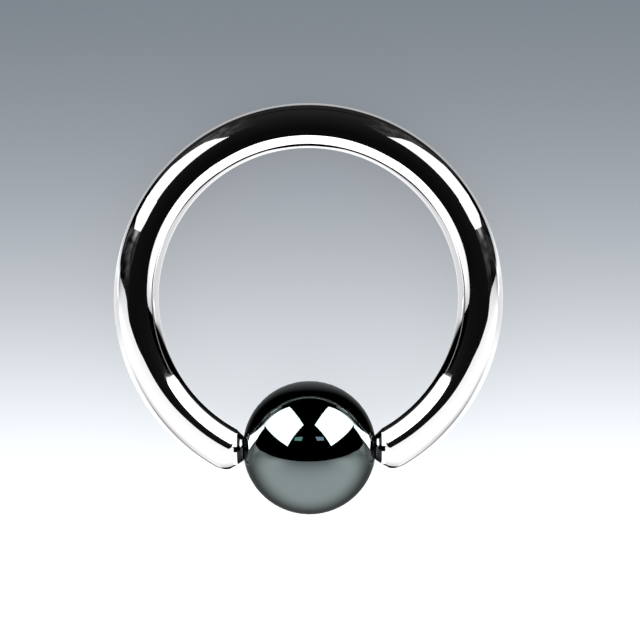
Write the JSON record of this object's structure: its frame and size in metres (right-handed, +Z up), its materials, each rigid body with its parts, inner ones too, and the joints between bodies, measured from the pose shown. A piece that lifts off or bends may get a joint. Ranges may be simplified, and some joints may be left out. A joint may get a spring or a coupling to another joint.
{
  "type": "captive bead ring",
  "caption": "Open ring of round polished wire whose rounded, bevelled ends pinch a dimpled, dark metallic bead so that it can spin.",
  "frame": {"origin": "on the surface that the ring lies on, under the middle of its outline seen from above", "axes": "+X along the bead's axis, from one end of the wire to the other; +Y across the ring from the bead towards the far side of the wire; +Z up from the surface"},
  "size_m": [0.0138, 0.0146, 0.0048],
  "materials": {
    "polished_steel": "mirror-polished surgical steel",
    "polished_hematite": "mirror-polished hematite, dark grey and metallic"
  },
  "bodies": {
    "ring": {"ring": "polished_steel"},
    "bead": {"bead": "polished_hematite"}
  },
  "joints": [
    {"name": "bead_spin", "type": "hinge", "parent": "ring", "child": "bead", "pos_m": [0, -0.00491, 0.00238], "axis": [1, 0, 0], "continuous": true}
  ]
}
